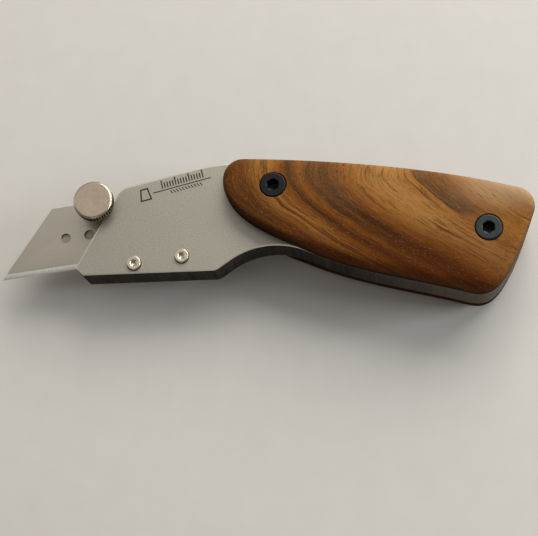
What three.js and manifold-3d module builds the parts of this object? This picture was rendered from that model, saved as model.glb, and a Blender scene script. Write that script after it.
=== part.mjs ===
// Utility knife with a clamped trapezoid blade: three steel plates bolted between two walnut
// scales. The blade lies in a channel cut in the middle plate, on a thin steel bed, and a knurled
// thumb screw through a notch in the blade's spine clamps it.
//
// X runs from the blade's point to the butt along the plates' straight bottom edge, Y rises
// towards the blade's spine, and Z rises from the back scale to the front scale.

import * as THREE from 'three';
import { mergeVertices } from 'three/addons/utils/BufferGeometryUtils.js';
import Module from 'manifold-3d';

const wasm = await Module();
wasm.setup();

const DEGREE = Math.PI / 180;

// Driving dimensions, in millimetres and radians.
const blade = {
  length: 62,
  height: 19,
  thickness: 0.65,
  end_run: 15.3,
  bevel_width: 1.45,
  edge_land: 0.06,
  tilt: 6.6 * DEGREE,
  tip_lift: 0.65,
  hole_diameter: 2.9,
  inner_hole_offset: 5.5,
  outer_hole_offset: 12.3,
  notch_spacing: 4.2,
  notch_inset: 2.3,
};
const plate = { thickness: 3.5, edge_break: 0.35 };
const spacer = { thickness: 2 };
const nose = {
  slope: 61.7 * DEGREE,
  screw_setback: 4.2,
  corner_cut: 2.25,
  top_rail: 1.3,
  top_slope: 13 * DEGREE,
  top_radius: 5,
  shoulder_rise: 6.05,
  shoulder_run: 5.5,
};
const choil = {
  start: 38.1, entry_radius: 3, entry_angle: 34.6 * DEGREE, rise: 3.9, radius: 21, exit_angle: 28 * DEGREE,
};
const handle = { start: 41.3, length: 83.6, corner_radius: 5.5, thickness: 6, wall: 2.4, round_over: 3 };
const butt = { top_x: -3.6, top_y: 18.95, low_x: -18.6, low_y: -8.95 };
// How the handle's edge curves: pulls on its long lines as shares of their run and rise, and the
// offsets of its short curves from the butt's low corner, its rearmost line and its high corner.
const belly = { leave: 0.28, arrive: 0.325, arrive_rise: 0.1 };
const back = { leave: 0.28, leave_rise: 0.55, arrive: 0.67, arrive_drop: 0.12 };
const heel = { leave: [3.6, -1.1], arrive: [6, -0.6], end: [8.6, 2.2] };
const butt_line = { leave: [13, 7.4], arrive: [-2.6, -12.4], end: [-0.4, -6.9] };
const crown = { leave: [0.7, -4.1], arrive: [2.9, -0.9] };
const scale_front = { leave: 0.52, arrive: [-11.2, 5.5] };
const thumb = {
  head_diameter: 11.1,
  head_height: 3.4,
  head_clearance: 0.6,
  head_chamfer: 0.6,
  teeth: 44,
  tooth_depth: 0.28,
  collar_diameter: 6.4,
  thread_diameter: 3,
  tip_clearance: 0.5,
};
const clamp_washer = { diameter: 6.8, thickness: 0.8 };
const bed = { reach: 12.9, low_inset: 3.6, spine_inset: 1.6, corner_radius: 2, lobe_radius: 4.2 };
const nose_screw = {
  thread_diameter: 2, head_diameter: 3.8, head_height: 2, hex: 1.5, hex_depth: 1,
  proud: 0.9, edge_distance: 2.25, behind_thumb: [9.3, 22.6], tip_clearance: 0.5,
};
const handle_screw = {
  thread_diameter: 4, head_diameter: 7, head_height: 4, hex: 3, hex_depth: 2,
  below_surface: 0.1, front_inset: 14.1, front_drop: 9.2, rear_inset: 12.8, rear_y: 7.15,
};
const sleeve_nut = { diameter: 5.6, head_height: 2.2, end_clearance: 0.5, screw_overlap: 4.5, hex_depth: 1.3 };
const handle_washer = { thickness: 0.5 };
const screw_shape = { head_chamfer: 0.08, tip_chamfer: 0.2 };

// Clearances.
const blade_play = 0.1;
const seat_gap = 0.05;
const channel_clearance = 0.4;
const bed_clearance = 0.6;
const thread_clearance = 0.1;
const shank_clearance = 0.2;
const head_pocket_clearance = 0.2;
const notch_clearance = 0.15;

// How finely curves are drawn: an arc gets twice this many steps, any other curve this many.
const CURVE_STEPS = 8;
const ROUND_STEPS = 20;

// Levels of the stack, from the underside of the back scale.
const level = {};
level.back_plate = handle.thickness;
level.spacer = level.back_plate + plate.thickness;
level.front_plate = level.spacer + spacer.thickness;
level.front_scale = level.front_plate + plate.thickness;
level.top = level.front_scale + handle.thickness;
level.blade_top = level.front_plate - blade_play;
bed.thickness = spacer.thickness - blade_play - blade.thickness - seat_gap;

// The blade's own axes: U along its cutting edge from the point, V towards its spine.
const blade_frame = new THREE.Matrix4().makeRotationZ(blade.tilt);
blade_frame.setPosition(0, blade.tip_lift, 0);

function fromBlade(u, v) {
  const point = new THREE.Vector3(u, v, 0).applyMatrix4(blade_frame);
  return new THREE.Vector2(point.x, point.y);
}

// Places that several pieces share.
const screw_uv = new THREE.Vector2(
  blade.length / 2 - blade.notch_spacing / 2,
  blade.height - blade.notch_inset,
);
const thumb_axis = fromBlade(screw_uv.x, screw_uv.y);
const nose_x = thumb_axis.x
  - ((thumb_axis.y - nose.corner_cut) * Math.cos(nose.slope) - nose.screw_setback) / Math.sin(nose.slope);
const handle_front = nose_x + handle.start;
const butt_x = handle_front + handle.length;
const nose_corner = noseCorner();
const top_y = nose_corner.y + nose.shoulder_rise;
const shoulder_x = nose_corner.x + nose.shoulder_rise / Math.tan(nose.top_slope);
const choil_path = choilPlaces();
const handle_axes = {
  front: new THREE.Vector2(handle_front + handle_screw.front_inset, top_y - handle_screw.front_drop),
  rear: new THREE.Vector2(butt_x - handle_screw.rear_inset, handle_screw.rear_y),
};
const nose_axes = {
  front: fromBlade(screw_uv.x + nose_screw.behind_thumb[0], -nose_screw.edge_distance),
  rear: fromBlade(screw_uv.x + nose_screw.behind_thumb[1], -nose_screw.edge_distance),
};

// The sharp corner where the sloping nose edge would meet the top edge, a rail's width past the
// blade's spine.
function noseCorner() {
  const start = new THREE.Vector2(nose_x, nose.corner_cut);
  const along = new THREE.Vector2(Math.cos(nose.slope), Math.sin(nose.slope));
  const spine = new THREE.Vector2(-Math.sin(blade.tilt), Math.cos(blade.tilt));
  const goal = blade.height + nose.top_rail + spine.y * blade.tip_lift;
  const run = (goal - start.dot(spine)) / along.dot(spine);
  return start.addScaledVector(along, run);
}

// The finger choil: a small convex arc off the bottom edge, a straight rise, then a large hollow.
function choilPlaces() {
  const start = new THREE.Vector2(nose_x + choil.start, 0);
  const rise_start = new THREE.Vector2(
    start.x + choil.entry_radius * Math.sin(choil.entry_angle),
    choil.entry_radius * (1 - Math.cos(choil.entry_angle)),
  );
  const hollow_start = new THREE.Vector2(
    rise_start.x + choil.rise * Math.cos(choil.entry_angle),
    rise_start.y + choil.rise * Math.sin(choil.entry_angle),
  );
  const centre = new THREE.Vector2(
    hollow_start.x + choil.radius * Math.sin(choil.entry_angle),
    hollow_start.y - choil.radius * Math.cos(choil.entry_angle),
  );
  const end = new THREE.Vector2(
    centre.x + choil.radius * Math.sin(choil.exit_angle),
    centre.y + choil.radius * Math.cos(choil.exit_angle),
  );
  return { start, hollow_start, centre, end };
}

// Outlines.

// From the end of the choil round the butt to the handle's top edge: one line that the three
// plates and both scales share.
function addHandleEdge(path) {
  const start = choil_path.end;
  const low = new THREE.Vector2(butt_x + butt.low_x, butt.low_y);
  const high = new THREE.Vector2(butt_x + butt.top_x, butt.top_y);
  const rear = new THREE.Vector2(butt_x, high.y);
  const top = new THREE.Vector2(handle_front + handle.corner_radius, top_y);
  const span = low.x - start.x;
  const reach = high.x - top.x;
  const rise = top.y - high.y;
  const curve = (...points) => path.bezierCurveTo(...points.flatMap(({ x, y }) => [x, y]));
  const off = (point, [x, y]) => new THREE.Vector2(point.x + x, point.y + y);
  curve(
    off(start, [belly.leave * span, -belly.leave * span * Math.tan(choil.exit_angle)]),
    off(low, [-belly.arrive * span, belly.arrive_rise * span]),
    low,
  );
  curve(off(low, heel.leave), off(low, heel.arrive), off(low, heel.end));
  curve(off(low, butt_line.leave), off(rear, butt_line.arrive), off(rear, butt_line.end));
  curve(off(rear, crown.leave), off(high, crown.arrive), high);
  curve(
    off(high, [-back.leave * reach, back.leave_rise * rise]),
    new THREE.Vector2(high.x - back.arrive * reach, top.y - back.arrive_drop * rise),
    top,
  );
}

function plateOutline() {
  const shape = new THREE.Shape();
  const places = choil_path;
  const entry_end = choil.entry_angle - Math.PI / 2;
  shape.moveTo(nose_x + nose.corner_cut, 0);
  shape.lineTo(places.start.x, 0);
  shape.absarc(places.start.x, choil.entry_radius, choil.entry_radius, -Math.PI / 2, entry_end, false);
  shape.lineTo(places.hollow_start.x, places.hollow_start.y);
  shape.absarc(
    places.centre.x, places.centre.y, choil.radius,
    Math.PI / 2 + choil.entry_angle, Math.PI / 2 - choil.exit_angle, true,
  );
  addHandleEdge(shape);
  const slope_start = shoulder_x - nose.shoulder_run;
  shape.lineTo(shoulder_x + nose.shoulder_run, top_y);
  shape.quadraticCurveTo(
    shoulder_x, top_y,
    slope_start, top_y - nose.shoulder_run * Math.tan(nose.top_slope),
  );
  const turn = nose.slope - nose.top_slope;
  const trim = nose.top_radius * Math.tan(turn / 2);
  const arc_start = new THREE.Vector2(
    nose_corner.x + trim * Math.cos(nose.top_slope),
    nose_corner.y + trim * Math.sin(nose.top_slope),
  );
  shape.lineTo(arc_start.x, arc_start.y);
  shape.absarc(
    arc_start.x + nose.top_radius * Math.sin(nose.top_slope),
    arc_start.y - nose.top_radius * Math.cos(nose.top_slope),
    nose.top_radius, Math.PI / 2 + nose.top_slope, Math.PI / 2 + nose.slope, false,
  );
  shape.lineTo(nose_x, nose.corner_cut);
  shape.closePath();
  return shape;
}

function scaleOutline() {
  const shape = new THREE.Shape();
  const end = choil_path.end;
  const corner_y = top_y - handle.corner_radius;
  const drop = corner_y - end.y;
  shape.moveTo(end.x, end.y);
  addHandleEdge(shape);
  shape.absarc(
    handle_front + handle.corner_radius, corner_y, handle.corner_radius, Math.PI / 2, Math.PI, false,
  );
  shape.bezierCurveTo(
    handle_front, corner_y - scale_front.leave * drop,
    end.x + scale_front.arrive[0], end.y + scale_front.arrive[1],
    end.x, end.y,
  );
  return shape;
}

function bladeOutline() {
  const shape = new THREE.Shape();
  const half_notch = thumb.thread_diameter / 2 + notch_clearance;
  shape.moveTo(0, 0);
  shape.lineTo(blade.length, 0);
  shape.lineTo(blade.length - blade.end_run, blade.height);
  for (const side of [1, -1]) {
    const u = blade.length / 2 + side * blade.notch_spacing / 2;
    shape.lineTo(u + half_notch, blade.height);
    shape.absarc(u, screw_uv.y, half_notch, 0, Math.PI, true);
    shape.lineTo(u - half_notch, blade.height);
  }
  shape.lineTo(blade.end_run, blade.height);
  shape.closePath();
  for (const side of [-1, 1]) {
    for (const offset of [blade.inner_hole_offset, blade.outer_hole_offset]) {
      const centre = new THREE.Vector2(blade.length / 2 + side * offset, blade.height / 2);
      shape.holes.push(circle(centre, blade.hole_diameter / 2));
    }
  }
  return shape;
}

// The bed under the blade, which also gives the back plate its tongue: a strip inside the blade's
// own outline, with its back end cut parallel to the blade's, and a lobe round the thumb screw.
function bedOutline() {
  const slant = blade.end_run / blade.height;
  const low = bed.low_inset;
  const high = blade.height - bed.spine_inset;
  const front = screw_uv.x - bed.reach;
  const back = blade.length - bed_clearance;
  const shape = new THREE.Shape();
  const r = bed.corner_radius;
  const lobe_angle = Math.asin((high - screw_uv.y) / bed.lobe_radius);
  shape.moveTo(front + r, low);
  shape.lineTo(back - slant * low, low);
  shape.lineTo(back - slant * high, high);
  shape.absarc(screw_uv.x, screw_uv.y, bed.lobe_radius, lobe_angle, Math.PI - lobe_angle, false);
  shape.lineTo(front + 2 * r, high);
  shape.quadraticCurveTo(front + r, high, front + 0.7 * r, high - r);
  shape.lineTo(front, low + r);
  shape.quadraticCurveTo(front, low, front + r, low);
  return shape;
}

function channelOutline() {
  const slant = blade.end_run / blade.height;
  const low = -channel_clearance;
  const high = blade.height + channel_clearance;
  const back = blade.length + channel_clearance;
  const shape = new THREE.Shape();
  shape.moveTo(-blade.length / 2, low);
  shape.lineTo(back - slant * low, low);
  shape.lineTo(back - slant * high, high);
  shape.lineTo(-blade.length / 2, high);
  shape.closePath();
  return shape;
}

function circle(centre, radius) {
  const path = new THREE.Path();
  path.absarc(centre.x, centre.y, radius, 0, 2 * Math.PI, true);
  return path;
}

// Solids.

function toSolid(geometry) {
  const bare = geometry.clone();
  bare.deleteAttribute('normal');
  bare.deleteAttribute('uv');
  const merged = mergeVertices(bare, 1e-5);
  const corners = merged.index.array;
  const kept = [];
  for (let i = 0; i < corners.length; i += 3) {
    const [a, b, c] = corners.subarray(i, i + 3);
    if (a !== b && b !== c && c !== a) {
      kept.push(a, b, c);
    }
  }
  return new wasm.Manifold(new wasm.Mesh({
    numProp: 3,
    vertProperties: new Float32Array(merged.attributes.position.array),
    triVerts: new Uint32Array(kept),
  }));
}

function toGeometry(solid) {
  const mesh = solid.getMesh();
  const geometry = new THREE.BufferGeometry();
  geometry.setAttribute('position', new THREE.BufferAttribute(mesh.vertProperties, 3));
  geometry.setIndex(new THREE.BufferAttribute(mesh.triVerts, 1));
  geometry.computeVertexNormals();
  return geometry;
}

function slabGeometry(shape, bottom, top) {
  const options = { depth: top - bottom, bevelEnabled: false, curveSegments: CURVE_STEPS };
  return new THREE.ExtrudeGeometry(shape, options).translate(0, 0, bottom);
}

function slab(shape, bottom, top) {
  return toSolid(slabGeometry(shape, bottom, top));
}

function disc(centre, radius, bottom, top) {
  const geometry = new THREE.CylinderGeometry(radius, radius, top - bottom, ROUND_STEPS);
  geometry.rotateX(Math.PI / 2).translate(centre.x, centre.y, (bottom + top) / 2);
  return toSolid(geometry);
}

// A turned piece from its half profile, listed from the bottom of its axis to the top.
function turned(profile, centre) {
  const points = profile.map(([r, z]) => new THREE.Vector2(r, z));
  const geometry = new THREE.LatheGeometry(points, ROUND_STEPS);
  return toSolid(geometry.rotateX(Math.PI / 2).translate(centre.x, centre.y, 0));
}

function hexSocket(across_flats, centre, bottom, top) {
  const radius = across_flats / Math.sqrt(3);
  const geometry = new THREE.CylinderGeometry(radius, radius, top - bottom, 6);
  geometry.rotateX(Math.PI / 2).translate(centre.x, centre.y, (bottom + top) / 2);
  return toSolid(geometry);
}

function drilled(solid, centres, radius, bottom, top) {
  return centres.reduce((rest, centre) => rest.subtract(disc(centre, radius, bottom, top)), solid);
}

// Plates. Holes run a little past both faces so that they cut cleanly.
const past = 1;
const handle_holes = [handle_axes.front, handle_axes.rear];
const nose_holes = [nose_axes.front, nose_axes.rear];

function frontPlate() {
  const bottom = level.front_plate;
  const top = level.front_scale;
  const options = {
    depth: plate.thickness - 2 * plate.edge_break,
    bevelThickness: plate.edge_break,
    bevelSize: plate.edge_break,
    bevelOffset: -plate.edge_break,
    bevelSegments: 1,
    curveSegments: CURVE_STEPS,
  };
  const geometry = new THREE.ExtrudeGeometry(plateOutline(), options);
  geometry.translate(0, 0, bottom + plate.edge_break);
  const pocket_floor = top + nose_screw.proud - nose_screw.head_height;
  const pocket_radius = nose_screw.head_diameter / 2 + head_pocket_clearance;
  let solid = toSolid(geometry);
  solid = drilled(solid, handle_holes, screwHole(handle_screw), bottom - past, top + past);
  solid = drilled(solid, nose_holes, screwHole(nose_screw), bottom - past, top + past);
  return drilled(solid, nose_holes, pocket_radius, pocket_floor, top + past);
}

function spacerPlate() {
  const bottom = level.spacer;
  const top = level.front_plate;
  const channel = slabGeometry(channelOutline(), bottom - past, top + past).applyMatrix4(blade_frame);
  let solid = slab(plateOutline(), bottom, top).subtract(toSolid(channel));
  solid = drilled(solid, handle_holes, screwHole(handle_screw), bottom - past, top + past);
  return drilled(solid, nose_holes, screwHole(nose_screw), bottom - past, top + past);
}

function backPlate() {
  const bottom = level.back_plate;
  const top = level.spacer;
  const tongue = slabGeometry(bedOutline(), bottom, top).applyMatrix4(blade_frame);
  const nut_hole = sleeve_nut.diameter / 2 + shank_clearance;
  let solid = slab(plateOutline(), bottom, top).add(toSolid(tongue));
  solid = drilled(solid, handle_holes, nut_hole, bottom - past, top + past);
  solid = drilled(solid, nose_holes, threadHole(nose_screw), bottom - past, top + past);
  return drilled(solid, [thumb_axis], threadHole(thumb), bottom - past, top + past);
}

function screwHole(screw) {
  return screw.thread_diameter / 2 + shank_clearance;
}

function threadHole(screw) {
  return screw.thread_diameter / 2 + thread_clearance;
}

// Blade and bed, both drawn in the blade's own axes with their undersides at zero.
function bladeSolid() {
  const half = blade.thickness / 2;
  const land = blade.edge_land / 2;
  const section = new THREE.Shape();
  section.moveTo(0, half - land);
  section.lineTo(blade.bevel_width, 0);
  section.lineTo(blade.height + past, 0);
  section.lineTo(blade.height + past, blade.thickness);
  section.lineTo(blade.bevel_width, blade.thickness);
  section.lineTo(0, half + land);
  section.closePath();
  const ground = slabGeometry(section, -past, blade.length + past);
  const turn = new THREE.Matrix4().makeBasis(
    new THREE.Vector3(0, 1, 0), new THREE.Vector3(0, 0, 1), new THREE.Vector3(1, 0, 0),
  );
  ground.applyMatrix4(turn);
  return slab(bladeOutline(), -past, blade.thickness + past).intersect(toSolid(ground));
}

function bedSolid() {
  const outline = bedOutline();
  outline.holes.push(circle(screw_uv, screwHole(thumb)));
  return slab(outline, 0, bed.thickness);
}

// Handle scales: a straight wall against the plate, then edges rounded over to a flat face.
function scaleBlank() {
  const rise = handle.thickness - handle.wall;
  const options = {
    depth: 2 * handle.wall,
    bevelThickness: rise,
    bevelSize: handle.round_over,
    bevelOffset: -handle.round_over,
    bevelSegments: 4,
    curveSegments: CURVE_STEPS,
  };
  const whole = toSolid(new THREE.ExtrudeGeometry(scaleOutline(), options).translate(0, 0, -handle.wall));
  const side = 4 * handle.length;
  const lower_half = new THREE.BoxGeometry(side, side, handle.thickness + past);
  lower_half.translate(handle_front, 0, -(handle.thickness + past) / 2);
  return whole.subtract(toSolid(lower_half));
}

function frontScale() {
  const floor = level.top - handle_screw.below_surface - handle_screw.head_height - handle_washer.thickness;
  const pocket = handle_screw.head_diameter / 2 + head_pocket_clearance;
  const blank = scaleBlank().translate([0, 0, level.front_scale]);
  const bored = drilled(blank, handle_holes, screwHole(handle_screw), level.front_scale - past, level.top);
  return drilled(bored, handle_holes, pocket, floor, level.top + past);
}

function backScale() {
  const floor = handle_screw.below_surface + sleeve_nut.head_height + handle_washer.thickness;
  const pocket = handle_screw.head_diameter / 2 + head_pocket_clearance;
  const bore = sleeve_nut.diameter / 2 + shank_clearance;
  const blank = scaleBlank().mirror([0, 0, 1]).translate([0, 0, level.back_plate]);
  const bored = drilled(blank, handle_holes, bore, 0, level.back_plate + past);
  return drilled(bored, handle_holes, pocket, -past, floor);
}

// Fasteners.
function capScrew(screw, centre, seat, tip) {
  const r = screw.thread_diameter / 2;
  const head = screw.head_diameter / 2;
  const top = seat + screw.head_height;
  const chamfer = screw_shape.head_chamfer * screw.head_diameter;
  const point = screw_shape.tip_chamfer * r;
  const profile = [
    [0, tip], [r - point, tip], [r, tip + point], [r, seat], [head, seat],
    [head, top - chamfer], [head - chamfer, top], [0, top],
  ];
  const socket = hexSocket(screw.hex, centre, top - screw.hex_depth, top + past);
  return turned(profile, centre).subtract(socket);
}

function noseScrew(centre) {
  const seat = level.front_scale + nose_screw.proud - nose_screw.head_height;
  return capScrew(nose_screw, centre, seat, level.back_plate + nose_screw.tip_clearance);
}

const nut_end = level.spacer - sleeve_nut.end_clearance;

function handleScrew(centre) {
  const seat = level.top - handle_screw.below_surface - handle_screw.head_height;
  return capScrew(handle_screw, centre, seat, nut_end - sleeve_nut.screw_overlap);
}

function sleeveNut(centre) {
  const bottom = handle_screw.below_surface;
  const shoulder = bottom + sleeve_nut.head_height;
  const r = sleeve_nut.diameter / 2;
  const head = handle_screw.head_diameter / 2;
  const chamfer = screw_shape.head_chamfer * handle_screw.head_diameter;
  const bore = threadHole(handle_screw);
  const bore_floor = nut_end - sleeve_nut.screw_overlap - seat_gap;
  const profile = [
    [0, bottom], [head - chamfer, bottom], [head, bottom + chamfer], [head, shoulder],
    [r, shoulder], [r, nut_end], [bore, nut_end], [bore, bore_floor], [0, bore_floor],
  ];
  const socket = hexSocket(handle_screw.hex, centre, bottom - past, bottom + sleeve_nut.hex_depth);
  return turned(profile, centre).subtract(socket);
}

function washer(centre, outer, inner, bottom, thickness) {
  const shape = new THREE.Shape();
  shape.absarc(centre.x, centre.y, outer / 2, 0, 2 * Math.PI, false);
  shape.holes.push(circle(centre, inner / 2));
  return slab(shape, bottom, bottom + thickness);
}

function screwWasher(centre) {
  const seat = level.top - handle_screw.below_surface - handle_screw.head_height;
  const inner = 2 * screwHole(handle_screw);
  return washer(
    centre, handle_screw.head_diameter, inner, seat - handle_washer.thickness, handle_washer.thickness,
  );
}

function nutWasher(centre) {
  const shoulder = handle_screw.below_surface + sleeve_nut.head_height;
  const inner = sleeve_nut.diameter + 2 * shank_clearance;
  return washer(centre, handle_screw.head_diameter, inner, shoulder, handle_washer.thickness);
}

// Thumb screw: a knurled head with chamfered rims over a plain collar and a threaded shank.
function knurledOutline() {
  const outer = thumb.head_diameter / 2;
  const shape = new THREE.Shape();
  for (let i = 0; i < 2 * thumb.teeth; i += 1) {
    const r = i % 2 === 0 ? outer : outer - thumb.tooth_depth;
    const angle = Math.PI * i / thumb.teeth;
    const x = thumb_axis.x + r * Math.cos(angle);
    const y = thumb_axis.y + r * Math.sin(angle);
    if (i === 0) {
      shape.moveTo(x, y);
    } else {
      shape.lineTo(x, y);
    }
  }
  shape.closePath();
  return shape;
}

const head_bottom = level.front_scale + thumb.head_clearance;
const collar_bottom = level.blade_top + clamp_washer.thickness;

function thumbScrew() {
  const top = head_bottom + thumb.head_height;
  const outer = thumb.head_diameter / 2;
  const rim = outer - thumb.head_chamfer;
  const r = thumb.thread_diameter / 2;
  const collar = thumb.collar_diameter / 2;
  const tip = level.back_plate + thumb.tip_clearance;
  const point = screw_shape.tip_chamfer * r;
  const envelope = turned([
    [0, head_bottom], [rim, head_bottom], [outer, head_bottom + thumb.head_chamfer],
    [outer, top - thumb.head_chamfer], [rim, top], [0, top],
  ], thumb_axis);
  const stem = turned([
    [0, tip], [r - point, tip], [r, tip + point], [r, collar_bottom],
    [collar, collar_bottom], [collar, head_bottom + past], [0, head_bottom + past],
  ], thumb_axis);
  return slab(knurledOutline(), head_bottom, top).intersect(envelope).add(stem);
}

function clampWasher() {
  const inner = thumb.thread_diameter + 2 * shank_clearance;
  return washer(thumb_axis, clamp_washer.diameter, inner, level.blade_top, clamp_washer.thickness);
}

// Materials.
function walnut() {
  return new THREE.MeshStandardMaterial({ color: 0x7a4a28, roughness: 0.55, metalness: 0 });
}

function satinSteel() {
  return new THREE.MeshStandardMaterial({ color: 0x9d978e, roughness: 0.42, metalness: 0.9 });
}

function bladeSteel() {
  return new THREE.MeshStandardMaterial({ color: 0xa59c93, roughness: 0.35, metalness: 0.95 });
}

function brightSteel() {
  return new THREE.MeshStandardMaterial({ color: 0xc2bdb6, roughness: 0.25, metalness: 1 });
}

function blackOxide() {
  return new THREE.MeshStandardMaterial({ color: 0x18191b, roughness: 0.45, metalness: 0.6 });
}

// Assembly.
const assembly = new THREE.Group();

function place(name, solid, material, parent = assembly) {
  const mesh = new THREE.Mesh(toGeometry(solid), material);
  mesh.name = name;
  parent.add(mesh);
  return mesh;
}

place('back_scale', backScale(), walnut());
place('back_plate', backPlate(), satinSteel());
place('spacer_plate', spacerPlate(), satinSteel());
place('front_plate', frontPlate(), satinSteel());
place('front_scale', frontScale(), walnut());

const blade_group = new THREE.Group();
blade_group.rotation.z = blade.tilt;
blade_group.position.set(0, blade.tip_lift, 0);
assembly.add(blade_group);
place('blade_bed', bedSolid(), satinSteel(), blade_group).position.z = level.spacer;
place('blade', bladeSolid(), bladeSteel(), blade_group).position.z = level.blade_top - blade.thickness;

place('clamp_washer', clampWasher(), brightSteel());
place('thumb_screw', thumbScrew(), brightSteel());
for (const end of ['front', 'rear']) {
  place(`nose_screw_${end}`, noseScrew(nose_axes[end]), brightSteel());
  place(`handle_screw_${end}`, handleScrew(handle_axes[end]), blackOxide());
  place(`screw_washer_${end}`, screwWasher(handle_axes[end]), blackOxide());
  place(`sleeve_nut_${end}`, sleeveNut(handle_axes[end]), blackOxide());
  place(`nut_washer_${end}`, nutWasher(handle_axes[end]), blackOxide());
}

// The knife lies on its back scale, with the origin under the middle of its outline.
const extent = new THREE.Box3().setFromObject(assembly, true);
const middle = extent.getCenter(new THREE.Vector3());
assembly.position.set(-middle.x, -middle.y, -extent.min.z);
const knife = new THREE.Group();
knife.add(assembly);

export default knife;
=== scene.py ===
import math

import bmesh
import bpy
import numpy as np
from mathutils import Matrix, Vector, geometry


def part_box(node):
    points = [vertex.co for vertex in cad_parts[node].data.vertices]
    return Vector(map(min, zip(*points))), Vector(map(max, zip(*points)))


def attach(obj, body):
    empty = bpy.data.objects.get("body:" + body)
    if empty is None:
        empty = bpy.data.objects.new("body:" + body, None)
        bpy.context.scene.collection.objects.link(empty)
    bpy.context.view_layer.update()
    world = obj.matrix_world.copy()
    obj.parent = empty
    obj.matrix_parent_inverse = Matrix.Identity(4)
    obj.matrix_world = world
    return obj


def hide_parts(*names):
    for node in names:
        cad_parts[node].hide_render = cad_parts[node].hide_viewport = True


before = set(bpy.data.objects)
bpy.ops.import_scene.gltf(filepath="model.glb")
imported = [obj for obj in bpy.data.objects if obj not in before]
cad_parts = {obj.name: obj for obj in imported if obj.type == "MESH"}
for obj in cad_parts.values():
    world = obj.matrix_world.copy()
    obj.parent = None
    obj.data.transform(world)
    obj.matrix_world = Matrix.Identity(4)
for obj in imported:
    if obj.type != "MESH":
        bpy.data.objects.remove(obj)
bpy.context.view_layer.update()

MM = 0.001


# --- Back plate ---------------------------------
# The knife's backbone: a full-length plate of 3.5 mm stainless steel, laser cut, bead blasted and
# left bare. A tongue runs forward under the blade and carries the thumb screw's thread.
# The edges are broken by hand, so they are a little brighter than the blasted faces; a painted
# highlight adds to that brightness, and the cut walls are painted dark for shade.

TIP_LIFT = 0.65
POINT_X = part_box("blade")[0].x
EDGE_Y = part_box("blade")[0].y - TIP_LIFT * MM


def levels(node):
    """Heights in millimetres of a node's lowest and highest face."""
    return [corner.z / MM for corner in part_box(node)]


def bench(x, y, z):
    """A place on the knife: x back from the blade's point, y up from the plates' straight edge."""
    return (POINT_X + x * MM, EDGE_Y + y * MM, z * MM)


def measured(node, end):
    """A node's corner as distances from the blade's point and the plates' straight edge."""
    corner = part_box(node)[end]
    return (corner.x - POINT_X) / MM, (corner.y - EDGE_Y) / MM


NOSE_X = measured("front_plate", 0)[0]
HANDLE_FRONT = measured("front_scale", 0)[0]
TOP_Y = measured("front_scale", 1)[1]
BUTT_X = HANDLE_FRONT + 83.6
NOSE_SLOPE = math.radians(61.7)
TOP_SLOPE = math.radians(13)
CORNER_CUT = 2.25
NOSE_RADIUS = 5
NOSE_CORNER = (NOSE_X + 12.26, TOP_Y - 6.05)
SHOULDER_RUN = 5.5
CHOIL_START = NOSE_X + 38.1
CHOIL_ENTRY = math.radians(34.6)
CHOIL_RISE = 3.9
CHOIL_EXIT = math.radians(28)
CHOIL_RADIUS = 21
ENTRY_RADIUS = 3
HANDLE_CORNER = 5.5
BUTT_LOW = (BUTT_X - 18.6, -8.95)
BUTT_HIGH = (BUTT_X - 3.6, 18.95)
# How the handle's edge curves. The belly and the back pull on a share of their run and rise. The
# short curves are steps from the butt's low corner, its rearmost line and its high corner.
BELLY_LEAVE, BELLY_ARRIVE = 0.28, (0.325, 0.1)
BACK_LEAVE, BACK_ARRIVE = (0.28, 0.55), (0.67, 0.12)
HEEL_STEPS = ((3.6, -1.1), (6, -0.6), (8.6, 2.2))
BUTT_STEPS = ((13, 7.4), (-2.6, -12.4), (-0.4, -6.9))
CREST_STEPS = ((0.7, -4.1), (2.9, -0.9))


def arc(centre, radius, start, end, steps=24):
    """Points round an arc, from one angle to the other."""
    angles = np.linspace(start, end, steps + 1)
    return [(centre[0] + radius * math.cos(a), centre[1] + radius * math.sin(a)) for a in angles]


def circle(centre, radius, steps):
    return arc(centre, radius, 0, 2 * math.pi, steps)[:-1]


def bend(start, pull, push, end, steps=28):
    """Points along a cubic curve."""
    t = np.linspace(0, 1, steps + 1)[:, None]
    a, b, c, d = (np.array(q, float) for q in (start, pull, push, end))
    line = (1 - t) ** 3 * a + 3 * t * (1 - t) ** 2 * b + 3 * t * t * (1 - t) * c + t ** 3 * d
    return [tuple(q) for q in line]


def choil_line():
    """The finger hollow: off the straight edge by a small curve, up a ramp, over a large arc."""
    off_edge = CHOIL_ENTRY - math.pi / 2
    entry = arc((CHOIL_START, ENTRY_RADIUS), ENTRY_RADIUS, -math.pi / 2, off_edge, 8)
    ramp_x = entry[-1][0] + CHOIL_RISE * math.cos(CHOIL_ENTRY)
    ramp_y = entry[-1][1] + CHOIL_RISE * math.sin(CHOIL_ENTRY)
    centre = (
        ramp_x + CHOIL_RADIUS * math.sin(CHOIL_ENTRY),
        ramp_y - CHOIL_RADIUS * math.cos(CHOIL_ENTRY),
    )
    first, last = math.pi / 2 + CHOIL_ENTRY, math.pi / 2 - CHOIL_EXIT
    return entry + arc(centre, CHOIL_RADIUS, first, last, 40)


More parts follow.
